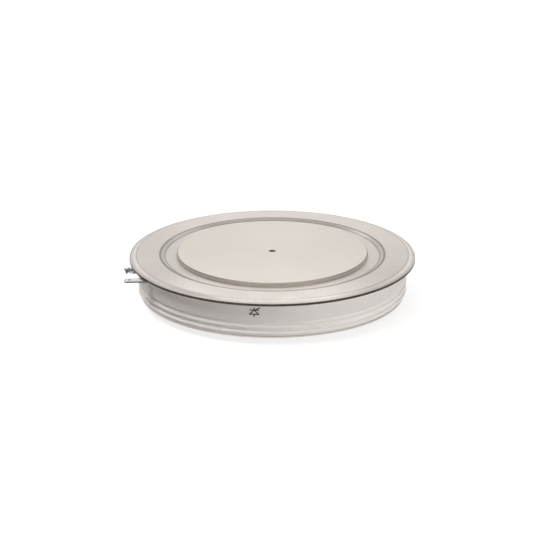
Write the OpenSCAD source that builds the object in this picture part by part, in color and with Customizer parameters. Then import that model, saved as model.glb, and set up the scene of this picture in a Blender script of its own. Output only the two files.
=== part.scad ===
// Disc thyristor in a ceramic housing, clamped between two heat sinks.
// The anode contact face lies on the plane z = 0 and the cathode contact faces up.
// The gate and auxiliary cathode tabs point along -X.

/* [Housing] */
// Height between the two contact faces
housing_h = 26; // [25:0.5:36]
// Diameter over the joined rim
rim_d = 150; // [147:1:160]
// Diameter of each contact face
contact_d = 100; // [92:1:104]
// Chamfer around each contact face
contact_chamfer = 0.4; // [0.2:0.1:0.8]
// Diameter of the centring hole in each contact face
centre_hole_d = 3.5; // [2.5:0.1:5]
// Depth of each centring hole
centre_hole_depth = 3.5; // [2.5:0.1:4]

/* [Contact poles] */
// Height of the anode pole from its face to the silicon stack
anode_pole_h = 7.6; // [6.4:0.2:8.4]
// Width of the shoulder that each formed ring is brazed to
shoulder_w = 3.5; // [2.6:0.1:4.5]
// Height of the cathode contact above the floor of the trough
cathode_land_h = 2; // [1.4:0.1:3]
// Height of the anode contact below its formed ring
anode_land_h = 2.6; // [1.6:0.1:3.2]
// Relief around the inner land of the cathode pole
pole_relief = 0.6; // [0.3:0.1:1]
// Chamfer on the inner edge of each pole
pole_chamfer = 0.8; // [0.3:0.1:1.2]

/* [Formed rings] */
// Thickness of the cathode flange
cathode_sheet_t = 0.6; // [0.4:0.05:0.8]
// Thickness of the weld flange on the ceramic
weld_sheet_t = 0.8; // [0.5:0.05:1.2]
// Thickness of the anode flange
anode_sheet_t = 0.8; // [0.5:0.05:1]
// Flat of each formed ring outside the shoulder of its pole
trough_w = 2.6; // [1.5:0.1:3]
// Height of the raised ring on the cathode flange
raised_h = 1; // [0.9:0.05:1.6]
// Slope of the raised ring on the side of the contact
raised_slope = 25; // [18:1:40]
// Slope of the raised ring on the side of the rim
rim_slope = 60; // [40:1:65]
// Width of the flat rim where the two flanges are joined
rim_w = 2; // [1.4:0.1:3]
// Rounding of the rim's outer edge
rim_round = 0.3; // [0.1:0.05:0.35]
// Rise of the anode flange from its pole to the ceramic
anode_rise = 1.2; // [0.8:0.1:1.8]
// Slope of that rise
anode_slope = 30; // [20:1:45]
// Inside radius of every bend
bend_r = 0.4; // [0.2:0.05:0.5]
// Distance of the weld flange's inner edge from the bore of the ceramic
weld_inset = 1; // [0.5:0.1:3]
// Distance that the anode flange stands out past the foot of the ceramic
anode_edge = 0.4; // [0:0.1:1]

/* [Ceramic ring] */
// Outer diameter of the ceramic
ceramic_d = 141; // [138:1:144]
// Wall of the ceramic
ceramic_wall = 9.5; // [8:0.5:11]
// Number of grooves below the smooth band
groove_count = 2; // [1:1:2]
// Width of each groove
groove_w = 1.9; // [1.6:0.1:2.2]
// Depth of each groove
groove_depth = 1.6; // [1.3:0.1:2.5]
// Height of each rib between grooves
rib_h = 1.3; // [1.1:0.1:1.6]
// Rounding of each rib
rib_round = 0.5; // [0.2:0.05:0.5]
// Height of the foot below the lowest rib
foot_h = 1.45; // [1:0.05:2]
// Depth of the foot behind the ribs
foot_inset = 1.5; // [0.8:0.1:2.5]

/* [Silicon stack] */
// Thickness of the anode disc
anode_disc_t = 2.4; // [1.6:0.1:2.8]
// Thickness of the silicon wafer
wafer_t = 0.8; // [0.5:0.05:1.2]
// Thickness of the cathode disc
cathode_disc_t = 2; // [1.2:0.1:2.6]
// Diameter of the gate opening in the cathode disc
disc_hole_d = 10; // [8:0.5:14]
// Ledge of the anode pole that carries the locating ring
ledge_w = 2.2; // [1.2:0.1:3]
// Wall of the rubber ring outside the anode disc
rubber_wall = 1.5; // [0.8:0.1:2]
// Distance of the wafer's edge from the edge of the anode disc
wafer_inset = 0.5; // [0.2:0.1:1]
// Width of the long bevel on top of the wafer's edge
upper_bevel = 1.6; // [1:0.1:2.5]
// Width of the short bevel under the wafer's edge
lower_bevel = 0.4; // [0.2:0.1:0.8]
// Lip of the rubber ring on the flat of the wafer
rubber_lip = 0.6; // [0.3:0.1:1.5]
// Height of the rubber ring above the wafer
rubber_top = 0.9; // [0.5:0.1:1.2]
// Depth of the rubber ring below the top of the anode disc
rubber_skirt = 1; // [0.5:0.1:1.4]
// Least width of the locating ring's base
locating_w = 8; // [6:0.5:9]
// Thickness of the locating ring's base
locating_base_t = 1.6; // [1:0.1:2.5]
// Wall of the locating ring's collar
locating_wall = 1.6; // [1:0.1:2.5]
// Height of the locating ring's collar
locating_h = 4.4; // [3:0.1:4.8]

/* [Gate contact] */
// Distance of the gate lead below the top of the ceramic
gate_drop = 6.4; // [5:0.1:6.8]
// Diameter of the recess for the gate contact in the cathode pole
recess_d = 12; // [11:0.5:16]
// Copper left between that recess and the centring hole
recess_web = 1.5; // [1:0.1:1.8]
// Wall of the insulating cup
cup_wall = 1.5; // [1:0.1:1.8]
// Thickness of the closed end of the cup
cup_end_t = 0.8; // [0.5:0.1:1]
// Gap between the mouth of the cup and the inner face of the pole
cup_lift = 0.3; // [0.1:0.1:0.6]
// Diameter of the pin's foot on the wafer
pin_foot_d = 3.6; // [2.5:0.1:5]
// Height of the pin's collar
pin_collar_h = 1.8; // [1.6:0.1:2.2]
// Height of the pin's spigot inside the spring
pin_spigot_h = 1.4; // [0.8:0.1:1.8]
// Mean diameter of the spring
spring_d = 5; // [4:0.1:5.6]
// Diameter of the spring wire
spring_wire_d = 0.6; // [0.45:0.05:0.8]
// Diameter of the gate lead
lead_d = 0.8; // [0.5:0.05:1]
// Length of the lead inside the pin's collar
lead_grip = 1.5; // [1:0.1:2]
// Outer diameter of the insulating sleeve on the lead
sleeve_d = 2; // [1.6:0.1:2.4]

/* [Terminals] */
// Outer diameter of the gate tube
tube_d = 2.2; // [2:0.1:2.6]
// Bore of the gate tube
tube_bore_d = 1.5; // [1.3:0.05:1.6]
// Length of the gate tube inside the ceramic's bore
tube_inner = 1; // [0.5:0.1:2]
// Distance of the tube's closed end from the tip of the tab
tube_setback = 0.8; // [0.6:0.1:1.6]
// Distance of the crimp from the closed end
crimp_setback = 1.7; // [1.6:0.05:2]
// Depth of the crimp
crimp_depth = 0.55; // [0.3:0.05:0.6]
// Radius of the crimping tool
crimp_r = 0.9; // [0.7:0.05:1]
// Distance of the tips of both tabs past the weld flange
tab_tip = 3.1; // [1.5:0.1:7]
// Thickness of both tabs
tab_t = 0.8; // [0.5:0.05:0.8]
// Width of the gate tab
gate_tab_w = 2.8; // [2.4:0.1:4]
// Width of the auxiliary cathode tab
cathode_tab_w = 4.8; // [4:0.1:6.3]
// Distance of the auxiliary cathode tab from the gate tab
tab_spacing = 30.6; // [20:0.1:34]
// Diameter of the catch hole in the gate tab
gate_catch_d = 1.2; // [0.8:0.1:1.4]
// Diameter of the catch hole in the auxiliary cathode tab
cathode_catch_d = 1.4; // [1:0.1:2]
// Distance of each catch hole from the tip
catch_setback = 2.6; // [2:0.1:3.5]
// Chamfer on the corners of each tip
tip_chamfer = 0.8; // [0.4:0.1:1]
// Bevel on the faces of each tip
tip_bevel = 0.2; // [0.1:0.05:0.24]
// Wall of the barrel that clamps the gate tab on the tube
barrel_t = 0.4; // [0.3:0.05:0.6]
// Length of that barrel
barrel_l = 2.4; // [1.5:0.1:2.6]

/* [Clearances] */
// Gap at each brazed seam around a pole or a tube
braze_gap = 0.05; // [0.02:0.01:0.1]
// Gap between the locating ring and the ceramic or the stack
locating_gap = 0.3; // [0.1:0.05:0.5]
// Gap between the cathode disc and the rubber ring
disc_gap = 0.3; // [0.1:0.05:0.5]
// Gap between the insulating cup and its recess
cup_gap = 0.1; // [0.05:0.05:0.2]
// Gap between the pin's collar and the cup
pin_gap = 0.3; // [0.1:0.05:0.5]
// Gap between the spring and the pin's spigot
spigot_gap = 0.3; // [0.1:0.05:0.5]
// Gap around the lead in the pin, the sleeve and the crimp
lead_gap = 0.05; // [0.02:0.01:0.1]
// Gap between the sleeve and its channel, and at its two ends
sleeve_gap = 0.3; // [0.1:0.05:0.4]
// Gap between a tab and the ceramic
tab_gap = 0.4; // [0.2:0.1:1]
// Gap between the barrel and the tube
barrel_gap = 0.03; // [0.01:0.01:0.05]

/* [Hidden] */
$fn = 96;

// Facets of one bend, of one rounded edge and of one turn of the spring
bend_facets = 6;
round_facets = 8;
coil_facets = 28;
wire_facets = 10;
// Closest pitch of the spring, in wire diameters
coil_pitch = 1.2;
// Cuts run this far past the face that they open
over = 1;

nickel = [0.80, 0.78, 0.76];
alumina = [0.90, 0.88, 0.86];
copper = [0.78, 0.76, 0.74];
molybdenum = [0.55, 0.55, 0.57];
silicon = [0.30, 0.31, 0.36];
rubber = [0.62, 0.30, 0.24];
ptfe = [0.95, 0.95, 0.93];
silver = [0.86, 0.86, 0.85];
spring_steel = [0.66, 0.66, 0.64];

// Heights from the anode face up
anode_shoulder_z = anode_land_h + anode_sheet_t;
ceramic_z0 = anode_shoulder_z + anode_rise;
trough_z = housing_h - cathode_land_h;
cathode_shoulder_z = trough_z - cathode_sheet_t;
ceramic_z1 = cathode_shoulder_z - weld_sheet_t;
wafer_z0 = anode_pole_h + anode_disc_t;
wafer_z1 = wafer_z0 + wafer_t;
cathode_inner_z = wafer_z1 + cathode_disc_t;
// The gate lead lies below the top of the ceramic, and its sleeve clears the cathode disc
gate_z = max(ceramic_z1 - gate_drop, cathode_inner_z + sleeve_gap + sleeve_d / 2);
recess_z = housing_h - centre_hole_depth - recess_web;

// Radii from the axis out
contact_r = contact_d / 2;
pole_r = contact_r + shoulder_w;
rim_r = rim_d / 2;
ceramic_r = ceramic_d / 2;
ceramic_bore_r = ceramic_r - ceramic_wall;
foot_r = ceramic_r - foot_inset;
// The weld flange reaches the rim and always covers the ceramic
weld_r = max(rim_r, ceramic_r + rim_w);
// The locating ring stands on the ledge of the pole and keeps its least width inside the ceramic
locating_r = ceramic_bore_r - locating_gap;
locating_bore_r = min(pole_r - ledge_w, locating_r - locating_w);
rubber_r = locating_bore_r - locating_gap;
anode_disc_r = rubber_r - rubber_wall;
wafer_r = anode_disc_r - wafer_inset;
wafer_flat_r = wafer_r - upper_bevel;
rubber_inner_r = wafer_flat_r - rubber_lip;
cathode_disc_r = rubber_inner_r - disc_gap;

// Gate contact
cup_r = recess_d / 2 - cup_gap;
cup_bore_r = cup_r - cup_wall;
pin_collar_r = cup_bore_r - pin_gap;
pin_collar_z = gate_z - pin_collar_h / 2;
spring_z0 = pin_collar_z + pin_collar_h;
spring_z1 = recess_z - cup_end_t;
spring_rise = spring_z1 - spring_z0 - spring_wire_d;
spring_turns = floor(spring_rise / (coil_pitch * spring_wire_d));
pin_spigot_r = (spring_d - spring_wire_d) / 2 - spigot_gap;
channel_w = sleeve_d + 2 * sleeve_gap;
lead_bore_d = lead_d + 2 * lead_gap;

// Terminals, as distances from the axis along -X
tab_root = ceramic_r + tab_gap;
// The tips stand out past the weld flange, and the catch hole clears the barrel
tip_x = max(weld_r + tab_tip, tab_root + barrel_l + catch_setback + gate_catch_d);
tube_start = ceramic_bore_r - tube_inner;
tube_end = tip_x - tube_setback;
crimp_x = tube_end - crimp_setback;
gate_tab_z = gate_z + tube_d / 2 + barrel_gap;
cathode_tab_root = sqrt(pow(tab_root, 2) - pow(tab_spacing - cathode_tab_w / 2, 2));

// Length and width of the slope between two opposite bends in a sheet
function slope_l(rise, angle, t) = (rise - (2 * bend_r + t) * (1 - cos(angle))) / sin(angle);
function slope_w(rise, angle, t) = (2 * bend_r + t) * sin(angle) + slope_l(rise, angle, t) * cos(angle);

function along(angle) = [cos(angle), sin(angle)];
function left_of(angle) = [-sin(angle), cos(angle)];

function arc(centre, r, from, to) =
  [for (k = [0 : round_facets]) centre + r * along(from + (to - from) * k / round_facets)];

// Points and headings along the lower face of a bent sheet, for steps of [straight run, turn]
function stations(steps, t, start, heading = 0, i = 0) =
  let (
    run_end = start + steps[i][0] * along(heading),
    turn = steps[i][1],
    reach = turn > 0 ? bend_r + t : -bend_r,
    pivot = run_end + reach * left_of(heading)
  )
  turn == 0
    ? [[start, heading], [run_end, heading]]
    : concat(
        [[start, heading]],
        [
          for (k = [0 : bend_facets - 1])
            let (now = heading + turn * k / bend_facets)
            [pivot - reach * left_of(now), now]
        ],
        stations(steps, t, pivot - reach * left_of(heading + turn), heading + turn, i + 1)
      );

// Section of a bent sheet of even thickness, with the upper corner of its outer end rounded
function sheet_section(steps, t, start, edge_round) =
  let (
    path = stations(steps, t, start),
    last = len(path) - 1,
    corner = path[last][0] + [-edge_round, t - edge_round]
  )
  concat(
    [for (p = path) p[0]],
    arc(corner, edge_round, 0, 90),
    [for (i = [last - 1 : -1 : 0]) path[i][0] + t * left_of(path[i][1])]
  );

// Outline of the ribs and grooves, from the foot up to the smooth band
function groove_section() = [
  for (i = [0 : groove_count - 1])
    let (
      rib_z = ceramic_z0 + foot_h + i * (rib_h + groove_w),
      lip_r = ceramic_r - rib_round,
      floor_r = ceramic_r - groove_depth + groove_w / 2
    )
    each concat(
      arc([lip_r, rib_z + rib_round], rib_round, -90, 0),
      arc([lip_r, rib_z + rib_h - rib_round], rib_round, 0, 90),
      arc([floor_r, rib_z + rib_h + groove_w / 2], groove_w / 2, 270, 90)
    )
];

// Turns its children from the Z axis to the gate's line, with z as the distance from the axis
module on_gate_line() {
  translate([0, 0, gate_z]) rotate([0, -90, 0]) children();
}

// Channel for the sleeved lead, from the middle out to a given radius, open at the bottom
module lead_channel(reach) {
  on_gate_line() cylinder(d = channel_w, h = reach);
  translate([-reach, -channel_w / 2, 0]) cube([reach, channel_w, gate_z]);
}

module cathode_pole() {
  color(copper) difference() {
    rotate_extrude() polygon([
      [0, cathode_inner_z],
      [cathode_disc_r, cathode_inner_z],
      [cathode_disc_r, cathode_inner_z + pole_relief],
      [pole_r - pole_chamfer, cathode_inner_z + pole_relief],
      [pole_r, cathode_inner_z + pole_relief + pole_chamfer],
      [pole_r, cathode_shoulder_z],
      [contact_r, cathode_shoulder_z],
      [contact_r, housing_h - contact_chamfer],
      [contact_r - contact_chamfer, housing_h],
      [0, housing_h]
    ]);
    translate([0, 0, housing_h - centre_hole_depth])
      cylinder(d = centre_hole_d, h = centre_hole_depth + over);
    translate([0, 0, cathode_inner_z - over])
      cylinder(d = recess_d, h = recess_z - cathode_inner_z + over);
    lead_channel(pole_r + over);
  }
}

module cathode_flange() {
  inner_r = contact_r + braze_gap;
  foot_end = pole_r + trough_w;
  inner_slope_w = slope_w(raised_h, raised_slope, cathode_sheet_t);
  rim_slope_w = slope_w(raised_h, rim_slope, cathode_sheet_t);
  raised_w = rim_r - rim_w - rim_slope_w - foot_end - inner_slope_w;
  color(nickel) rotate_extrude() polygon(sheet_section(
    [
      [foot_end - inner_r, raised_slope],
      [slope_l(raised_h, raised_slope, cathode_sheet_t), -raised_slope],
      [raised_w, -rim_slope],
      [slope_l(raised_h, rim_slope, cathode_sheet_t), rim_slope],
      [rim_w, 0]
    ],
    cathode_sheet_t, [inner_r, cathode_shoulder_z], rim_round
  ));
}

module weld_flange() {
  inner_r = ceramic_bore_r + weld_inset;
  color(nickel) rotate_extrude() polygon(concat(
    [[inner_r, cathode_shoulder_z], [inner_r, ceramic_z1]],
    arc([weld_r - rim_round, ceramic_z1 + rim_round], rim_round, -90, 0),
    [[weld_r, cathode_shoulder_z]]
  ));
}

module ceramic_ring() {
  grooves_z1 = ceramic_z0 + foot_h + groove_count * (rib_h + groove_w);
  lip_r = ceramic_r - rib_round;
  color(alumina) difference() {
    rotate_extrude() polygon(concat(
      [[ceramic_bore_r, ceramic_z0], [foot_r, ceramic_z0], [foot_r, ceramic_z0 + foot_h]],
      groove_section(),
      arc([lip_r, grooves_z1 + rib_round], rib_round, -90, 0),
      arc([lip_r, ceramic_z1 - rib_round], rib_round, 0, 90),
      [[ceramic_bore_r, ceramic_z1]]
    ));
    on_gate_line() cylinder(d = tube_d + 2 * braze_gap, h = ceramic_r + over);
  }
}

module anode_flange() {
  inner_r = contact_r + braze_gap;
  foot_end = pole_r + trough_w;
  rise_w = slope_w(anode_rise, anode_slope, anode_sheet_t);
  color(nickel) rotate_extrude() polygon(sheet_section(
    [
      [foot_end - inner_r, anode_slope],
      [slope_l(anode_rise, anode_slope, anode_sheet_t), -anode_slope],
      [foot_r + anode_edge - foot_end - rise_w, 0]
    ],
    anode_sheet_t, [inner_r, anode_land_h], rim_round
  ));
}

module anode_pole() {
  color(copper) difference() {
    rotate_extrude() polygon([
      [0, 0],
      [contact_r - contact_chamfer, 0],
      [contact_r, contact_chamfer],
      [contact_r, anode_shoulder_z],
      [pole_r, anode_shoulder_z],
      [pole_r, anode_pole_h - pole_chamfer],
      [pole_r - pole_chamfer, anode_pole_h],
      [0, anode_pole_h]
    ]);
    translate([0, 0, -over]) cylinder(d = centre_hole_d, h = centre_hole_depth + over);
  }
}

module anode_disc() {
  color(molybdenum) translate([0, 0, anode_pole_h]) cylinder(r = anode_disc_r, h = anode_disc_t);
}

module silicon_wafer() {
  color(silicon) rotate_extrude() polygon([
    [0, wafer_z0],
    [wafer_r - lower_bevel, wafer_z0],
    [wafer_r, wafer_z0 + lower_bevel],
    [wafer_flat_r, wafer_z1],
    [0, wafer_z1]
  ]);
}

// Rubber moulded around the wafer's edge and the rim of the anode disc
module passivation_ring() {
  color(rubber) rotate_extrude() polygon([
    [rubber_inner_r, wafer_z1],
    [wafer_flat_r, wafer_z1],
    [wafer_r, wafer_z0 + lower_bevel],
    [wafer_r - lower_bevel, wafer_z0],
    [anode_disc_r, wafer_z0],
    [anode_disc_r, wafer_z0 - rubber_skirt],
    [rubber_r, wafer_z0 - rubber_skirt],
    [rubber_r, wafer_z1 + rubber_top],
    [rubber_inner_r, wafer_z1 + rubber_top]
  ]);
}

module cathode_disc() {
  color(molybdenum) translate([0, 0, wafer_z1]) difference() {
    cylinder(r = cathode_disc_r, h = cathode_disc_t);
    translate([0, 0, -over]) cylinder(d = disc_hole_d, h = cathode_disc_t + 2 * over);
  }
}

// L-section ring that stands on the ledge of the anode pole and reaches the ceramic
module locating_ring() {
  color(ptfe) rotate_extrude() polygon([
    [locating_bore_r, anode_pole_h],
    [locating_r, anode_pole_h],
    [locating_r, anode_pole_h + locating_base_t],
    [locating_bore_r + locating_wall, anode_pole_h + locating_base_t],
    [locating_bore_r + locating_wall, anode_pole_h + locating_h],
    [locating_bore_r, anode_pole_h + locating_h]
  ]);
}

module gate_pin() {
  color(silver) difference() {
    union() {
      translate([0, 0, wafer_z1]) cylinder(d = pin_foot_d, h = spring_z0 - wafer_z1);
      translate([0, 0, pin_collar_z]) cylinder(r = pin_collar_r, h = pin_collar_h);
      translate([0, 0, pin_collar_z]) cylinder(r = pin_spigot_r, h = pin_collar_h + pin_spigot_h);
    }
    on_gate_line() translate([0, 0, pin_collar_r - lead_grip])
      cylinder(d = lead_bore_d, h = lead_grip + over);
  }
}

// Coil swept as rings of points around a helix, each ring square to the wire
module gate_spring() {
  rings = coil_facets * spring_turns;
  climb = spring_rise / (spring_turns * 360);
  lean = atan(spring_rise / (spring_turns * PI * spring_d));
  points = [
    for (k = [0 : rings])
      let (turn = 360 * k / coil_facets)
      for (w = [0 : wire_facets - 1])
        let (
          side = along(360 * w / wire_facets) * spring_wire_d / 2,
          out = spring_d / 2 + side[0],
          back = -side[1] * sin(lean)
        )
        [
          out * cos(turn) - back * sin(turn),
          out * sin(turn) + back * cos(turn),
          spring_z0 + spring_wire_d / 2 + climb * turn + side[1] * cos(lean)
        ]
  ];
  sides = [
    for (k = [0 : rings - 1], w = [0 : wire_facets - 1])
      let (a = k * wire_facets + w, b = k * wire_facets + (w + 1) % wire_facets)
      [a, a + wire_facets, b + wire_facets, b]
  ];
  first_end = [for (w = [0 : wire_facets - 1]) w];
  last_end = [for (w = [wire_facets - 1 : -1 : 0]) rings * wire_facets + w];
  color(spring_steel) polyhedron(points, concat(sides, [first_end, last_end]), convexity = 10);
}

module gate_cup() {
  cup_z = cathode_inner_z + cup_lift;
  color(ptfe) difference() {
    translate([0, 0, cup_z]) cylinder(r = cup_r, h = recess_z - cup_z);
    translate([0, 0, cup_z - over]) cylinder(r = cup_bore_r, h = spring_z1 - cup_z + over);
    lead_channel(cup_r + over);
  }
}

// Wire from the pin's collar to the closed end of the gate tube
module gate_lead() {
  inner_end = pin_collar_r - lead_grip;
  color(silver) on_gate_line() translate([0, 0, inner_end])
    cylinder(d = lead_d, h = tube_end - tube_d / 2 - inner_end);
}

module lead_sleeve() {
  inner_end = pin_collar_r + sleeve_gap;
  sleeve_l = tube_start - sleeve_gap - inner_end;
  color(ptfe) on_gate_line() translate([0, 0, inner_end]) difference() {
    cylinder(d = sleeve_d, h = sleeve_l);
    translate([0, 0, -over]) cylinder(d = lead_bore_d, h = sleeve_l + 2 * over);
  }
}

// Tube brazed into the ceramic, crimped on the lead and closed with a round end
module gate_tube() {
  tube_r = tube_d / 2;
  color(nickel) on_gate_line() difference() {
    translate([0, 0, tube_start]) cylinder(d = tube_d, h = tube_end - tube_r - tube_start);
    translate([0, 0, tube_start - over])
      cylinder(d = tube_bore_d, h = crimp_x - crimp_r - tube_start + over);
    cylinder(d = lead_bore_d, h = tube_end);
    translate([0, 0, crimp_x]) rotate_extrude()
      translate([tube_r - crimp_depth + crimp_r, 0]) circle(crimp_r);
  }
  color(nickel) on_gate_line() translate([0, 0, tube_end - tube_r]) difference() {
    sphere(tube_r);
    translate([0, 0, -tube_d]) cylinder(d = 2 * tube_d, h = tube_d);
  }
}

// Flat plug tab along -X with a chamfered, bevelled tip and a catch hole, lower face at z = 0
module plug_tab(width, root, catch_d) {
  difference() {
    intersection() {
      linear_extrude(tab_t) polygon([
        [-root, -width / 2],
        [-root, width / 2],
        [tip_chamfer - tip_x, width / 2],
        [-tip_x, width / 2 - tip_chamfer],
        [-tip_x, tip_chamfer - width / 2],
        [tip_chamfer - tip_x, -width / 2]
      ]);
      rotate([90, 0, 0]) linear_extrude(2 * width, center = true) polygon([
        [-root, 0],
        [-root, tab_t],
        [tip_chamfer - tip_x, tab_t],
        [-tip_x, tab_t - tip_bevel],
        [-tip_x, tip_bevel],
        [tip_chamfer - tip_x, 0]
      ]);
    }
    translate([catch_setback - tip_x, 0, -over]) cylinder(d = catch_d, h = tab_t + 2 * over);
  }
}

module gate_tab() {
  barrel_bore_d = tube_d + 2 * barrel_gap;
  barrel_d = barrel_bore_d + 2 * barrel_t;
  color(silver) union() {
    translate([0, 0, gate_tab_z]) plug_tab(gate_tab_w, tab_root, gate_catch_d);
    difference() {
      on_gate_line() translate([0, 0, tab_root]) cylinder(d = barrel_d, h = barrel_l);
      on_gate_line() cylinder(d = barrel_bore_d, h = tip_x);
      translate([-tip_x, -barrel_d, gate_z - barrel_d - tube_d / 4])
        cube([tip_x, 2 * barrel_d, barrel_d]);
    }
  }
}

// Auxiliary cathode tab, welded flat under the weld flange
module cathode_tab() {
  color(silver) translate([0, -tab_spacing, ceramic_z1 - tab_t])
    plug_tab(cathode_tab_w, cathode_tab_root, cathode_catch_d);
}

cathode_pole();
cathode_flange();
weld_flange();
ceramic_ring();
anode_flange();
anode_pole();
anode_disc();
silicon_wafer();
passivation_ring();
cathode_disc();
locating_ring();
gate_pin();
gate_spring();
gate_cup();
gate_lead();
lead_sleeve();
gate_tube();
gate_tab();
cathode_tab();
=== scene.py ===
import math

import bmesh
import bpy
from mathutils import Matrix, Vector


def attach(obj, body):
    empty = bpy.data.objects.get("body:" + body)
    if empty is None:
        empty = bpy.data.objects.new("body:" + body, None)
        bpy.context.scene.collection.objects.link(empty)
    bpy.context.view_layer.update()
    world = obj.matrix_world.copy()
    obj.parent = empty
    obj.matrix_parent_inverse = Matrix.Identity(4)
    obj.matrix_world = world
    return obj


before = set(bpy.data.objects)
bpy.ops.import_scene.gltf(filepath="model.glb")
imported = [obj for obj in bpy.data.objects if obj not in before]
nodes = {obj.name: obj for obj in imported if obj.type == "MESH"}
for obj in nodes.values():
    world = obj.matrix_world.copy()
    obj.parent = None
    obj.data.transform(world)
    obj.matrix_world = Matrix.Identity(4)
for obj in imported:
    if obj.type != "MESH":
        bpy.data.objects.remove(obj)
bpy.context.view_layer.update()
scene = bpy.context.scene

MM = 0.001


def box_of(name):
    """Lowest and highest corner of a CAD node, in metres."""
    axes = list(zip(*(v.co for v in nodes[name].data.vertices)))
    return Vector([min(axis) for axis in axes]), Vector([max(axis) for axis in axes])


# Sizes and places that the boxes of the CAD nodes show
ceramic_low, ceramic_high = box_of("ceramic_ring")
tube_low, tube_high = box_of("gate_tube")
tab_low, tab_high = box_of("cathode_tab")
CERAMIC_R = ceramic_high.x
CERAMIC_Z0 = ceramic_low.z
RIM_R = box_of("cathode_flange")[1].x
ANODE_RING_Z = box_of("anode_flange")[0].z
GATE_Z = (tube_low.z + tube_high.z) / 2
TUBE_R = (tube_high.z - tube_low.z) / 2
TUBE_END_X = tube_low.x
CATHODE_TAB_Y = (tab_low.y + tab_high.y) / 2

# Levels and radii of the CAD part that no box shows
CONTACT_R = 50 * MM
HOLE_R = 1.75 * MM
TROUGH_Z = 24 * MM
CERAMIC_FOOT_R = 69 * MM
RIBS_TOP = 12.2 * MM

# Bends of the cathode flange, with painted shade in their creases: radius, reach of the painted
# shade and its strength
FLANGE_BENDS = (
    (56.4 * MM, 0.7 * MM, 0.65),
    (57.4 * MM, 0.8 * MM, 0.35),
    (58.8 * MM, 1.1 * MM, 0.95),
    (71.4 * MM, 0.6 * MM, 0.3),
)
# Slope to the rim, with a painted highlight: radius, reach and strength
RIM_HIGHLIGHT = (72.5 * MM, 0.8 * MM, 0.55)
# Reach within which such a line has its full strength
BEND_SHADE_CORE = 0.2 * MM
RIM_HIGHLIGHT_CORE = 0.4 * MM

# Level of the welded edge, where painted shade deepens the weld oxide, and places of the two
# spot welds beside the tab's middle line
WELD_Z = 23.1 * MM
SPOT_X = -66.6 * MM
SPOT_STEP = 1.0 * MM

# Soft edges in the materials, from start to end: radii, levels or distances from a middle
HOLE_EDGE = HOLE_R, HOLE_R + 0.1 * MM
RIBS_EDGE = RIBS_TOP, RIBS_TOP + 0.8 * MM
RIM_TINT_EDGE = RIM_R - 1.6 * MM, RIM_R - 0.4 * MM
WELD_RADII = RIM_R - 0.22 * MM, RIM_R - 0.06 * MM
WELD_REACH = 0.72 * MM, 0.84 * MM
SPOT_EDGE = 0.5 * MM, 0.8 * MM
SPOT_DIMPLE = 0.45 * MM, 0.7 * MM
DARK_END_EDGE = 0.8 * MM, 1.3 * MM
GATE_SPOT_EDGE = 2.4 * MM, 2.5 * MM
BARE_RING_EDGE = 3.4 * MM, 3.5 * MM
SHORTS_EDGE = 4.2 * MM, 4.4 * MM

# Colours in linear light, where a pair is the darker and the lighter patches
CONTACT_FACE = (0.555, 0.520, 0.467), (0.576, 0.540, 0.485)
# Painted shade on the contact's chamfer, and painted light on its side
CONTACT_CHAMFER_SHADE = (0.310, 0.285, 0.252)
CONTACT_SIDE_LIGHT = (0.640, 0.598, 0.535)
HOLE_SHADE = (0.120, 0.108, 0.092)
SHEET = (0.550, 0.503, 0.468), (0.586, 0.536, 0.500)
# Painted shade in the creases of the flange's bends
BEND_SHADE = (0.20, 0.18, 0.165)
# Painted highlight on the slope to the rim
RIM_HIGHLIGHT_COLOUR = (0.90, 0.85, 0.80)
# Darker tone towards the rim's edge
RIM_TINT = (0.31, 0.265, 0.225)
# Weld oxide on the rim's edge, deepened by painted shade
WELD_EDGE_SHADE = (0.046, 0.037, 0.030)
TIN = (0.520, 0.515, 0.500), (0.600, 0.595, 0.580)
# Painted shade on the sides of the tabs
TIN_EDGE_SHADE = (0.115, 0.112, 0.108)
SPOT_WELD = (0.30, 0.27, 0.24)
TUBE = (0.47, 0.45, 0.43), (0.60, 0.58, 0.56)
# Darker tone near the tube's end
TUBE_END_DARK = (0.085, 0.080, 0.076)
SILVER = (0.62, 0.58, 0.50), (0.80, 0.79, 0.76)
WIRE = (0.33, 0.32, 0.30), (0.44, 0.43, 0.41)
# Silver braze in two copies: painted darker as shade in the corners, painted lighter where it
# sits in shade
BRAZE_SHADED = (0.30, 0.28, 0.25), (0.43, 0.40, 0.36)
BRAZE_LIT = (0.58, 0.56, 0.53), (0.70, 0.68, 0.65)
MOLYBDENUM = (0.265, 0.268, 0.285), (0.315, 0.318, 0.335)
WAFER = (0.43, 0.44, 0.47), (0.48, 0.49, 0.52)
BARE_SILICON = (0.10, 0.105, 0.13)
ALUMINA = (0.680, 0.640, 0.608), (0.725, 0.685, 0.655)
# Painted light on the ceramic's grooved zone
ALUMINA_RIBS_LIT = (0.84, 0.80, 0.77)
ALUMINA_SPECK = (0.60, 0.555, 0.52)
RUBBER = (0.30, 0.075, 0.045), (0.37, 0.10, 0.065)
FLUOROPOLYMER = (0.80, 0.80, 0.77), (0.87, 0.87, 0.84)
INK = (0.016, 0.014, 0.014), (0.045, 0.040, 0.040)

# Ranges of a noise that make patches, tarnish, an even spread and rare specks
PATCHES = 0.35, 0.65
TARNISH = 0.35, 0.7
EVEN = 0.3, 0.7
SPECKS = 0.66, 0.8

# Heights of a unit normal below which a face counts as a chamfer and as a side, and their margin
CHAMFER_TILT = 0.85
SIDE_TILT = 0.4
TILT_MARGIN = 0.1

# Anisotropic rotation that makes the scratches run in circles around a radial tangent's axis
QUARTER_TURN = 0.25

# Distance between the rings of a wave texture at scale 1
WAVE_PERIOD = math.pi / 10

RANGE_SOCKETS = "From Min", "From Max", "To Min", "To Max"


def map_range(tree, value, *numbers):
    """Node that maps a value from one range to another, and holds it there."""
    made = tree.nodes.new("ShaderNodeMapRange")
    tree.links.new(value, made.inputs["Value"])
    for socket, number in zip(RANGE_SOCKETS, numbers):
        made.inputs[socket].default_value = number
    return made


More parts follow.
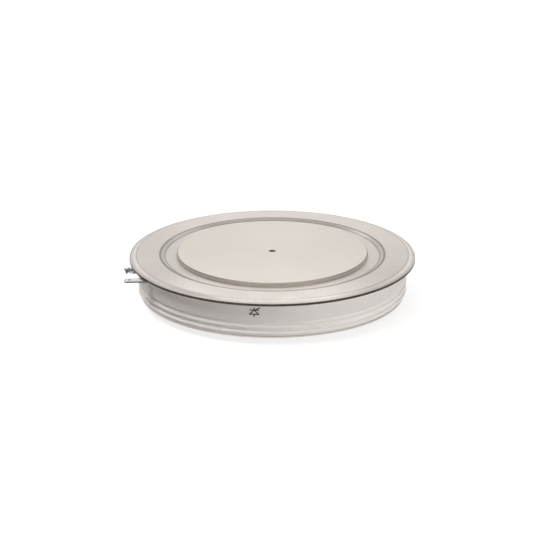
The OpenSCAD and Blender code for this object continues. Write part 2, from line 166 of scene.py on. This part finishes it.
class Graph:
    """One procedural material: a Principled shader and the nodes that feed it."""

    def __init__(self, name, **constants):
        self.material = bpy.data.materials.new(name)
        self.material.use_nodes = True
        self.tree = self.material.node_tree
        self.tree.nodes.clear()
        self.shader = self.node("ShaderNodeBsdfPrincipled")
        output = self.node("ShaderNodeOutputMaterial")
        self.link(self.shader.outputs["BSDF"], output.inputs["Surface"])
        for socket, value in constants.items():
            self.shader.inputs[socket.replace("_", " ")].default_value = value
        self.place = self.node("ShaderNodeTexCoord").outputs["Object"]

    def node(self, kind, **settings):
        made = self.tree.nodes.new(kind)
        for key, value in settings.items():
            setattr(made, key, value)
        return made

    def link(self, source, target):
        self.tree.links.new(source, target)

    def stretched(self, factors):
        """Object coordinates multiplied by a factor for each axis."""
        scaled = self.node("ShaderNodeVectorMath", operation="MULTIPLY")
        self.link(self.place, scaled.inputs[0])
        scaled.inputs[1].default_value = factors
        return scaled.outputs["Vector"]

    def noise(self, scale, detail=3.0, roughness=0.5, vector=None):
        made = self.node("ShaderNodeTexNoise")
        self.link(vector or self.place, made.inputs["Vector"])
        made.inputs["Scale"].default_value = scale
        made.inputs["Detail"].default_value = detail
        made.inputs["Roughness"].default_value = roughness
        return made.outputs["Fac"]

    def rings(self, spacing, distortion):
        """Fine turned lines around the Z axis."""
        made = self.node("ShaderNodeTexWave", wave_type="RINGS", rings_direction="Z")
        self.link(self.place, made.inputs["Vector"])
        made.inputs["Scale"].default_value = WAVE_PERIOD / spacing
        made.inputs["Distortion"].default_value = distortion
        made.inputs["Detail"].default_value = 2.0
        return made.outputs["Fac"]

    def distance(self, centre=(0, 0, 0), axes=(1, 1, 0)):
        """Distance from a point, along the given axes only."""
        offset = self.node("ShaderNodeVectorMath", operation="SUBTRACT")
        self.link(self.place, offset.inputs[0])
        offset.inputs[1].default_value = centre
        flat = self.node("ShaderNodeVectorMath", operation="MULTIPLY")
        self.link(offset.outputs["Vector"], flat.inputs[0])
        flat.inputs[1].default_value = axes
        length = self.node("ShaderNodeVectorMath", operation="LENGTH")
        self.link(flat.outputs["Vector"], length.inputs[0])
        return length.outputs["Value"]

    def distance_to(self, value, middle):
        """Distance of a value from a fixed one."""
        made = self.node("ShaderNodeMath", operation="SUBTRACT")
        self.link(value, made.inputs[0])
        made.inputs[1].default_value = middle
        size = self.node("ShaderNodeMath", operation="ABSOLUTE")
        self.link(made.outputs["Value"], size.inputs[0])
        return size.outputs["Value"]

    def span(self, value, start, end, low=0.0, high=1.0, smooth=False):
        """Value mapped from start..end to low..high, and held there."""
        made = map_range(self.tree, value, start, end, low, high)
        if smooth:
            made.interpolation_type = "SMOOTHSTEP"
        return made.outputs["Result"]

    def fading(self, value, start, end, strength=1.0, smooth=False):
        """The strength up to start, and 0 from end on."""
        return self.span(value, start, end, strength, 0.0, smooth)

    def steeper(self, tilt):
        """1 on steep faces, whose normal is lower than the tilt, and 0 on flatter ones."""
        axes = self.node("ShaderNodeSeparateXYZ")
        geometry = self.node("ShaderNodeNewGeometry")
        self.link(geometry.outputs["True Normal"], axes.inputs["Vector"])
        height = self.distance_to(axes.outputs["Z"], 0.0)
        return self.fading(height, tilt - TILT_MARGIN, tilt + TILT_MARGIN)

    def combined(self, operation, a, b):
        """Two values, or a value and a number, put together and held within 0..1."""
        made = self.node("ShaderNodeMath", operation=operation, use_clamp=True)
        for socket, value in zip(made.inputs, (a, b)):
            if isinstance(value, (int, float)):
                socket.default_value = value
            else:
                self.link(value, socket)
        return made.outputs["Value"]

    def colours(self, factor, a, b):
        """Blend of two colours, or of a colour socket and a colour."""
        made = self.node("ShaderNodeMix", data_type="RGBA")
        self.link(factor, made.inputs["Factor"])
        for socket, value in ((made.inputs["A"], a), (made.inputs["B"], b)):
            if isinstance(value, tuple):
                socket.default_value = (*value, 1.0)
            else:
                self.link(value, socket)
        return made.outputs["Result"]

    def bump(self, height, depth, strength, under=None):
        made = self.node("ShaderNodeBump")
        made.inputs["Strength"].default_value = strength
        made.inputs["Distance"].default_value = depth
        self.link(height, made.inputs["Height"])
        if under is not None:
            self.link(under, made.inputs["Normal"])
        return made.outputs["Normal"]

    def finish(self, colour, roughness, normal, circular=False):
        self.link(colour, self.shader.inputs["Base Color"])
        self.link(roughness, self.shader.inputs["Roughness"])
        self.link(normal, self.shader.inputs["Normal"])
        if circular:
            tangent = self.node("ShaderNodeTangent", direction_type="RADIAL", axis="Z")
            self.link(tangent.outputs["Tangent"], self.shader.inputs["Tangent"])
        return self.material


def paint(material, *names):
    """Puts a material on whole CAD nodes."""
    for name in names:
        mesh = nodes[name].data
        mesh.materials.clear()
        mesh.materials.append(material)


def lapped_nickel(name):
    """Contact piece: a lapped face with a shaded hole, a chamfer with painted shade and a side
    with painted light.
    """
    g = Graph(name, Metallic=1.0, Anisotropic=0.2, Anisotropic_Rotation=QUARTER_TURN)
    cloud = g.noise(26, detail=2.0)
    smear = g.noise(90, detail=4.0, roughness=0.6)
    lap = g.rings(0.22 * MM, distortion=1.5)
    grain = g.noise(5200, detail=2.0)
    colour = g.colours(g.span(cloud, *PATCHES), *CONTACT_FACE)
    colour = g.colours(g.fading(g.distance(), *HOLE_EDGE), colour, HOLE_SHADE)
    # Painted shade and light: chamfer faces are painted darker and the side lighter, by how
    # steep each face is.
    colour = g.colours(g.steeper(CHAMFER_TILT), colour, CONTACT_CHAMFER_SHADE)
    colour = g.colours(g.steeper(SIDE_TILT), colour, CONTACT_SIDE_LIGHT)
    smeared = g.span(smear, *EVEN, 0.38, 0.42)
    roughness = g.combined("ADD", smeared, g.span(lap, 0.0, 1.0, 0.0, 0.04))
    normal = g.bump(grain, 0.004 * MM, 0.08, g.bump(lap, 0.002 * MM, 0.3))
    return g.finish(colour, roughness, normal, circular=True)


def sheet_nickel(name, bends=(), welded_rim=False):
    """Formed sheet with painted shade in its bends, a painted highlight by the rim, a rim that
    darkens outwards and weld oxide deepened by painted shade.
    """
    g = Graph(name, Metallic=1.0, Anisotropic=0.8, Anisotropic_Rotation=QUARTER_TURN)
    cloud = g.noise(34)
    smear = g.noise(120, detail=4.0, roughness=0.6)
    spin = g.rings(0.3 * MM, distortion=2.0)
    grain = g.noise(4200, detail=2.0)
    radius = g.distance()
    colour = g.colours(g.span(cloud, *PATCHES), *SHEET)
    # Painted shade: each bend gets a darker line where shade falls in its crease.
    for middle, reach, strength in bends:
        away = g.distance_to(radius, middle)
        crease_shade = g.fading(away, BEND_SHADE_CORE, reach, strength, smooth=True)
        colour = g.colours(crease_shade, colour, BEND_SHADE)
    roughness = g.span(smear, *EVEN, 0.30, 0.40)
    if welded_rim:
        # Painted highlight: a lighter band on the slope to the rim.
        middle, reach, strength = RIM_HIGHLIGHT
        away = g.distance_to(radius, middle)
        highlight = g.fading(away, RIM_HIGHLIGHT_CORE, reach, strength, smooth=True)
        colour = g.colours(highlight, colour, RIM_HIGHLIGHT_COLOUR)
        # The rim darkens towards its edge, with a flicker.
        flicker = g.span(g.noise(420), *EVEN, 0.9, 1.0)
        tint = g.combined("MULTIPLY", g.span(radius, *RIM_TINT_EDGE, 0.0, 0.45), flicker)
        colour = g.colours(tint, colour, RIM_TINT)
        # Painted shade along the rim's welded edge: its oxide is painted near-black, with a
        # flicker.
        near_weld = g.fading(g.distance((0, 0, WELD_Z), (0, 0, 1)), *WELD_REACH)
        weld_shade = g.combined("MULTIPLY", g.span(radius, *WELD_RADII), flicker)
        weld_shade = g.combined("MULTIPLY", weld_shade, near_weld)
        colour = g.colours(weld_shade, colour, WELD_EDGE_SHADE)
        roughness = g.combined("MAXIMUM", roughness, g.combined("MULTIPLY", weld_shade, 0.55))
    normal = g.bump(grain, 0.004 * MM, 0.5, g.bump(spin, 0.002 * MM, 0.4))
    return g.finish(colour, roughness, normal, circular=True)


def tinned_brass(name, spots=()):
    """Rolled strip with lines along X, painted shade on its sides, and marks of the spot welds.
    """
    g = Graph(name, Metallic=1.0, Anisotropic=0.3)
    cloud = g.noise(300)
    drawn = g.noise(1.0, roughness=0.6, vector=g.stretched((160, 5200, 5200)))
    colour = g.colours(g.span(cloud, *PATCHES), *TIN)
    # Painted shade: the strip's steep side faces are painted near-black.
    colour = g.colours(g.steeper(SIDE_TILT), colour, TIN_EDGE_SHADE)
    roughness = g.span(drawn, *EVEN, 0.28, 0.42)
    normal = g.bump(drawn, 0.004 * MM, 0.6)
    for centre in spots:
        away = g.distance(centre)
        mark = g.fading(away, *SPOT_EDGE, smooth=True)
        colour = g.colours(g.combined("MULTIPLY", mark, 0.55), colour, SPOT_WELD)
        normal = g.bump(g.span(away, *SPOT_DIMPLE, smooth=True), 0.05 * MM, 1.0, normal)
    return g.finish(colour, roughness, normal)


def plated(name, tones, rough=(0.25, 0.4), scale=400, dark_end_x=None):
    """Plated or drawn metal with a patchy tarnish, and darker near one place along X."""
    g = Graph(name, Metallic=1.0)
    dark, light = tones
    patches = g.noise(scale, detail=4.0, roughness=0.6)
    grain = g.noise(6000, detail=2.0)
    colour = g.colours(g.span(patches, *TARNISH), light, dark)
    # Darker near the given place along X.
    if dark_end_x is not None:
        away = g.distance((dark_end_x, 0, 0), (1, 0, 0))
        colour = g.colours(g.fading(away, *DARK_END_EDGE, smooth=True), colour, TUBE_END_DARK)
    roughness = g.span(patches, *EVEN, *rough)
    return g.finish(colour, roughness, g.bump(grain, 0.003 * MM, 0.5))


def lapped_molybdenum(name):
    g = Graph(name, Metallic=1.0, Anisotropic=0.3, Anisotropic_Rotation=QUARTER_TURN)
    cloud = g.noise(60)
    lap = g.rings(0.25 * MM, distortion=3.0)
    colour = g.colours(g.span(cloud, *PATCHES), *MOLYBDENUM)
    roughness = g.span(g.noise(900), *EVEN, 0.38, 0.5)
    return g.finish(colour, roughness, g.bump(lap, 0.003 * MM, 0.5), circular=True)


def wafer_metal(name):
    """Metallised silicon: a gate spot, a bare ring round it and small shorting dots."""
    g = Graph(name, Metallic=1.0)
    radius = g.distance()
    dots = g.node("ShaderNodeTexVoronoi", feature="F1")
    g.link(g.stretched((1, 1, 0)), dots.inputs["Vector"])
    dots.inputs["Scale"].default_value = 700
    dots.inputs["Randomness"].default_value = 0.15
    dot = g.fading(dots.outputs["Distance"], 0.16, 0.22)
    outside = g.span(radius, *SHORTS_EDGE)
    past_gate = g.span(radius, *GATE_SPOT_EDGE)
    bare = g.combined("MULTIPLY", past_gate, g.fading(radius, *BARE_RING_EDGE))
    silicon = g.combined("MAXIMUM", bare, g.combined("MULTIPLY", dot, outside))
    colour = g.colours(g.span(g.noise(200), *PATCHES), *WAFER)
    colour = g.colours(silicon, colour, BARE_SILICON)
    roughness = g.span(g.noise(1500), *EVEN, 0.22, 0.34)
    return g.finish(colour, roughness, g.bump(silicon, 0.01 * MM, 0.6))


def fired_alumina(name):
    """Matt ceramic with fine specks, and painted light that makes its grooved zone paler."""
    g = Graph(name, Metallic=0.0, Specular_IOR_Level=0.2)
    cloud = g.noise(40)
    speck = g.noise(2600, detail=2.0)
    grain = g.noise(7000, roughness=0.6)
    colour = g.colours(g.span(cloud, *EVEN), *ALUMINA)
    # Painted light: the zone below the ribs' top is painted paler, as if lit from below.
    level = g.distance(axes=(0, 0, 1))
    lit_ribs = g.fading(level, *RIBS_EDGE, strength=0.8, smooth=True)
    colour = g.colours(lit_ribs, colour, ALUMINA_RIBS_LIT)
    colour = g.colours(g.span(speck, *SPECKS, 0.0, 0.35), colour, ALUMINA_SPECK)
    roughness = g.span(grain, *EVEN, 0.5, 0.65)
    return g.finish(colour, roughness, g.bump(grain, 0.006 * MM, 0.5))


def soft_solid(name, tones, rough, depth):
    """Matt rubber, plastic or ink with a fine skin."""
    g = Graph(name, Metallic=0.0, Specular_IOR_Level=0.4)
    cloud = g.noise(120)
    skin = g.noise(3200, roughness=0.6)
    colour = g.colours(g.span(cloud, *PATCHES), *tones)
    roughness = g.span(skin, *EVEN, *rough)
    return g.finish(colour, roughness, g.bump(skin, depth, 0.6))


weld_spots = [(SPOT_X, CATHODE_TAB_Y + side * SPOT_STEP, 0) for side in (-1, 1)]
welded_sheet = sheet_nickel("welded_sheet", FLANGE_BENDS, welded_rim=True)
rubber = soft_solid("red_rubber", RUBBER, (0.5, 0.68), 0.02 * MM)
fluoropolymer = soft_solid("white_fluoropolymer", FLUOROPOLYMER, (0.38, 0.52), 0.008 * MM)

paint(lapped_nickel("lapped_nickel"), "cathode_pole", "anode_pole")
paint(welded_sheet, "cathode_flange", "weld_flange")
paint(sheet_nickel("formed_sheet"), "anode_flange")
paint(plated("drawn_tube", TUBE, dark_end_x=TUBE_END_X), "gate_tube")
paint(tinned_brass("tinned_gate_tab"), "gate_tab")
paint(tinned_brass("tinned_cathode_tab", weld_spots), "cathode_tab")
paint(fired_alumina("fired_alumina"), "ceramic_ring")
paint(lapped_molybdenum("lapped_molybdenum"), "anode_disc", "cathode_disc")
paint(wafer_metal("wafer_metal"), "silicon_wafer")
paint(rubber, "passivation_ring")
paint(fluoropolymer, "locating_ring", "gate_cup", "lead_sleeve")
paint(plated("silver_plate", SILVER, scale=700), "gate_pin", "gate_lead")
paint(plated("spring_wire", WIRE, rough=(0.22, 0.36), scale=900), "gate_spring")


# Added pieces: braze fillets and a printed mark
SHARP_ANGLE = math.radians(40)
FILLET_LEG = 0.3 * MM
FILLET_STEPS = 6
RING_SEGMENTS = 192
TUBE_FILLET_LEG = 0.55 * MM
TUBE_FILLET_SINK = 0.02 * MM
TUBE_SEGMENTS = 48

# Lines of the mark on the unrolled ceramic, in millimetres: the two ends of each
MARK_LINES = (
    ((0, -2.3), (0, -1.0)),
    ((-2.5, -1.0), (2.5, -1.0)),
    ((-2.3, -1.0), (0, 1.25)),
    ((2.3, -1.0), (0, 1.25)),
    ((-2.3, 1.25), (2.3, 1.25)),
    ((0, 1.25), (0, 2.4)),
    ((0.4, 1.25), (2.9, 2.5)),
)
# Their width, the step from one line's level to the next, and the cuts that let them bend
MARK_STROKE = 0.6
MARK_LAYER = 0.002
MARK_CUT_STEP = 0.25
MARK_CUTS_PER_SIDE = 12
# Place of the mark on the ceramic
MARK_ANGLE = math.radians(258.6)
MARK_Z = 17.7 * MM
MARK_LIFT = 0.012 * MM


def add_piece(name, bm, material):
    """Makes a mesh an added piece of the one body."""
    mesh = bpy.data.meshes.new(name)
    bm.normal_update()
    bm.to_mesh(mesh)
    bm.free()
    mesh.polygons.foreach_set("use_smooth", [True] * len(mesh.polygons))
    mesh.set_sharp_from_angle(angle=SHARP_ANGLE)
    mesh.materials.append(material)
    piece = bpy.data.objects.new(name, mesh)
    scene.collection.objects.link(piece)
    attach(piece, "root")


def fillet_profile(corner, leg_r, leg_z):
    """Hollow fillet in a corner: its two legs run along r and z, given with their signs."""
    r, z = corner
    curve = []
    for k in range(FILLET_STEPS + 1):
        t = math.pi / 2 * k / FILLET_STEPS
        curve.append((r + leg_r * (1 - math.sin(t)), z + leg_z * (1 - math.cos(t))))
    return [*curve, (r, z)]


def lathe(profile, segments, matrix=Matrix.Identity(4)):
    """Closed ring with the given section of (radius, height) points around Z."""
    bm = bmesh.new()
    loops = []
    for s in range(segments):
        a = 2 * math.pi * s / segments
        loops.append([bm.verts.new((r * math.cos(a), r * math.sin(a), z)) for r, z in profile])
    count = len(profile)
    for s in range(segments):
        here, there = loops[s], loops[(s + 1) % segments]
        for k in range(count):
            n = (k + 1) % count
            bm.faces.new((here[k], there[k], there[n], here[n]))
    bmesh.ops.recalc_face_normals(bm, faces=bm.faces)
    bm.transform(matrix)
    return bm


def ring_fillet(r, z, leg_z):
    """Fillet all round the part, outside radius r."""
    return lathe(fillet_profile((r, z), FILLET_LEG, leg_z), RING_SEGMENTS)


def tube_fillet():
    """Fillet round the gate tube, where it leaves the ceramic along -X."""
    gate_line = Matrix.Translation((0, 0, GATE_Z)) @ Matrix.Rotation(math.radians(-90), 4, "Y")
    corner = (TUBE_R, CERAMIC_R - TUBE_FILLET_SINK)
    profile = fillet_profile(corner, TUBE_FILLET_LEG, FILLET_LEG)
    return lathe(profile, TUBE_SEGMENTS, gate_line)


def polarity_mark():
    """Circuit symbol of a thyristor, printed on the ceramic and pointing to the cathode."""
    bm = bmesh.new()
    for layer, ((u0, v0), (u1, v1)) in enumerate(MARK_LINES):
        run = Vector((u1 - u0, v1 - v0)).normalized() * MARK_STROKE / 2
        side = Vector((-run.y, run.x))
        ends = (Vector((u0, v0)) - run * 0.5, Vector((u1, v1)) + run * 0.5)
        corners = (ends[0] - side, ends[1] - side, ends[1] + side, ends[0] + side)
        bm.faces.new([bm.verts.new((c.x, c.y, layer * MARK_LAYER)) for c in corners])
    for cut in range(-MARK_CUTS_PER_SIDE, MARK_CUTS_PER_SIDE + 1):
        geometry = bm.verts[:] + bm.edges[:] + bm.faces[:]
        place = (cut * MARK_CUT_STEP, 0, 0)
        bmesh.ops.bisect_plane(bm, geom=geometry, plane_co=place, plane_no=(1, 0, 0))
    for v in bm.verts:
        radius = CERAMIC_R + MARK_LIFT + v.co.z * MM
        angle = MARK_ANGLE + v.co.x * MM / CERAMIC_R
        v.co = (radius * math.cos(angle), radius * math.sin(angle), MARK_Z + v.co.y * MM)
    return bm


# Painted shade and light: the fillets in the corners by the poles and the tube get a darker
# braze, and the foot fillet in the ribs' shade gets a lighter one.
shaded_braze = plated("shaded_silver_braze", BRAZE_SHADED, rough=(0.3, 0.45), scale=260)
lit_braze = plated("lit_braze", BRAZE_LIT, rough=(0.3, 0.45), scale=260)
ink = soft_solid("printed_ink", INK, (0.45, 0.6), 0.004 * MM)

cathode_fillet = ring_fillet(CONTACT_R, TROUGH_Z, FILLET_LEG)
anode_fillet = ring_fillet(CONTACT_R, ANODE_RING_Z, -FILLET_LEG)
foot_fillet = ring_fillet(CERAMIC_FOOT_R, CERAMIC_Z0, FILLET_LEG)
add_piece("cathode_braze", cathode_fillet, shaded_braze)
add_piece("anode_braze", anode_fillet, shaded_braze)
add_piece("foot_braze", foot_fillet, lit_braze)
add_piece("tube_braze", tube_fillet(), shaded_braze)
add_piece("polarity_mark", polarity_mark(), ink)


# Floor and light of the studio
FLOOR_R = 6.0
FLOOR_Z = -0.05 * MM
FLOOR_GREY = 0.43
# Glow of the floor: a near and a far distance from its middle, and the strength at each
FLOOR_GLOW = 0.2, 1.2, 0.68, 1.0
# Light of the world: two values of a direction's Z or Y, and the strength at each
WALLS_TO_CEILING = 0.38, 0.78, 1.0, 0.33
FILL_FROM_ABOVE = 0.4, 1.0, 0.0, 0.12
FILL_FROM_BEHIND = 0.45, 0.95, 0.0, 0.85


def direct_rays(tree):
    """1 for camera, glossy and transmission rays, and 0 for the light that falls on things."""
    path = tree.nodes.new("ShaderNodeLightPath")
    total = path.outputs["Is Camera Ray"]
    for name in ("Is Glossy Ray", "Is Transmission Ray"):
        either = tree.nodes.new("ShaderNodeMath")
        either.operation = "MAXIMUM"
        tree.links.new(total, either.inputs[0])
        tree.links.new(path.outputs[name], either.inputs[1])
        total = either.outputs["Value"]
    return total


def studio_floor():
    """Matt floor that takes the shadow, with a glow that only direct rays see."""
    bm = bmesh.new()
    bmesh.ops.create_circle(bm, cap_ends=True, segments=96, radius=FLOOR_R)
    mesh = bpy.data.meshes.new("floor")
    bm.to_mesh(mesh)
    bm.free()
    floor = bpy.data.objects.new("floor", mesh)
    floor.location.z = FLOOR_Z
    scene.collection.objects.link(floor)

    material = bpy.data.materials.new("studio_floor")
    material.use_nodes = True
    tree = material.node_tree
    tree.nodes.clear()
    matt = tree.nodes.new("ShaderNodeBsdfDiffuse")
    matt.inputs["Color"].default_value = (FLOOR_GREY, FLOOR_GREY, FLOOR_GREY, 1)
    glow = tree.nodes.new("ShaderNodeEmission")
    place = tree.nodes.new("ShaderNodeTexCoord")
    away = tree.nodes.new("ShaderNodeVectorMath")
    away.operation = "LENGTH"
    tree.links.new(place.outputs["Object"], away.inputs[0])
    level = map_range(tree, away.outputs["Value"], *FLOOR_GLOW)
    strength = tree.nodes.new("ShaderNodeMath")
    strength.operation = "MULTIPLY"
    tree.links.new(direct_rays(tree), strength.inputs[0])
    tree.links.new(level.outputs["Result"], strength.inputs[1])
    tree.links.new(strength.outputs["Value"], glow.inputs["Strength"])
    both = tree.nodes.new("ShaderNodeAddShader")
    tree.links.new(matt.outputs["BSDF"], both.inputs[0])
    tree.links.new(glow.outputs["Emission"], both.inputs[1])
    output = tree.nodes.new("ShaderNodeOutputMaterial")
    tree.links.new(both.outputs["Shader"], output.inputs["Surface"])
    mesh.materials.append(material)


def studio_world():
    """White walls under a greyer ceiling, and a soft fill from above and from behind."""
    world = bpy.data.worlds.new("studio")
    scene.world = world
    world.use_nodes = True
    tree = world.node_tree
    tree.nodes.clear()
    background = tree.nodes.new("ShaderNodeBackground")
    background.inputs["Color"].default_value = (1, 1, 1, 1)
    coordinates = tree.nodes.new("ShaderNodeTexCoord")
    axes = tree.nodes.new("ShaderNodeSeparateXYZ")
    tree.links.new(coordinates.outputs["Generated"], axes.inputs["Vector"])

    def along(axis, numbers):
        return map_range(tree, axes.outputs[axis], *numbers).outputs["Result"]

    fill = tree.nodes.new("ShaderNodeMath")
    fill.operation = "ADD"
    tree.links.new(along("Z", FILL_FROM_ABOVE), fill.inputs[0])
    tree.links.new(along("Y", FILL_FROM_BEHIND), fill.inputs[1])
    strength = map_range(tree, direct_rays(tree))
    tree.links.new(fill.outputs["Value"], strength.inputs["To Min"])
    tree.links.new(along("Z", WALLS_TO_CEILING), strength.inputs["To Max"])
    tree.links.new(strength.outputs["Result"], background.inputs["Strength"])
    output = tree.nodes.new("ShaderNodeOutputWorld")
    tree.links.new(background.outputs["Background"], output.inputs["Surface"])


def softbox(name, place, aim, size, power, mirrored=True):
    """Soft lamp that faces a point. Only a mirrored one shows in metal and gloss."""
    lamp = bpy.data.lights.new(name, "AREA")
    lamp.shape = "RECTANGLE"
    lamp.size, lamp.size_y = size
    lamp.energy = power
    box = bpy.data.objects.new(name, lamp)
    box.location = place
    box.rotation_mode = "QUATERNION"
    box.rotation_quaternion = (Vector(aim) - Vector(place)).to_track_quat("-Z", "Y")
    box.visible_glossy = mirrored
    scene.collection.objects.link(box)


studio_floor()
studio_world()
softbox(
    "overhead_softbox", place=(0.10, -0.20, 0.86), aim=(0.10, -0.02, 0),
    size=(1.4, 0.9), power=5.0,
)
softbox(
    "back_softbox", place=(0.02, 0.58, 0.50), aim=(0, 0, 0.02),
    size=(0.40, 0.16), power=0.65,
)
softbox(
    "left_softbox", place=(-0.42, -0.12, 0.78), aim=(0, 0, 0.01),
    size=(0.55, 0.55), power=5.6, mirrored=False,
)
softbox(
    "key_softbox", place=(0.75, -0.80, 0.30), aim=(0, 0, 0.01),
    size=(1.6, 0.6), power=9.4, mirrored=False,
)

# The camera of the photograph: turned 4 degrees, 19 degrees above the rim, 1.2 m away
TURN = math.radians(-4.0)
RISE = math.radians(19.12)
AWAY = 1.2
AIM_RIGHT = 1.38 * MM
AIM_DOWN = 10.82 * MM
SENSOR_MM = 36
LENS_MM = 149.48
right = Vector((math.cos(TURN), math.sin(TURN), 0))
ahead = Vector((-math.sin(TURN), math.cos(TURN), 0))
back = Vector((0, 0, 1)) * math.sin(RISE) - ahead * math.cos(RISE)
up = Vector((0, 0, 1)) * math.cos(RISE) + ahead * math.sin(RISE)
rim_centre = Vector((0, 0, TROUGH_Z))
target = rim_centre + right * AIM_RIGHT - up * AIM_DOWN

camera = bpy.data.objects.new("camera", bpy.data.cameras.new("camera"))
camera.data.sensor_width = SENSOR_MM
camera.data.lens = LENS_MM
camera.data.clip_start = 0.01
camera.location = rim_centre + back * AWAY
camera.rotation_mode = "QUATERNION"
camera.rotation_quaternion = (target - camera.location).to_track_quat("-Z", "Y")
scene.collection.objects.link(camera)
scene.camera = camera

scene.view_settings.view_transform = "Standard"
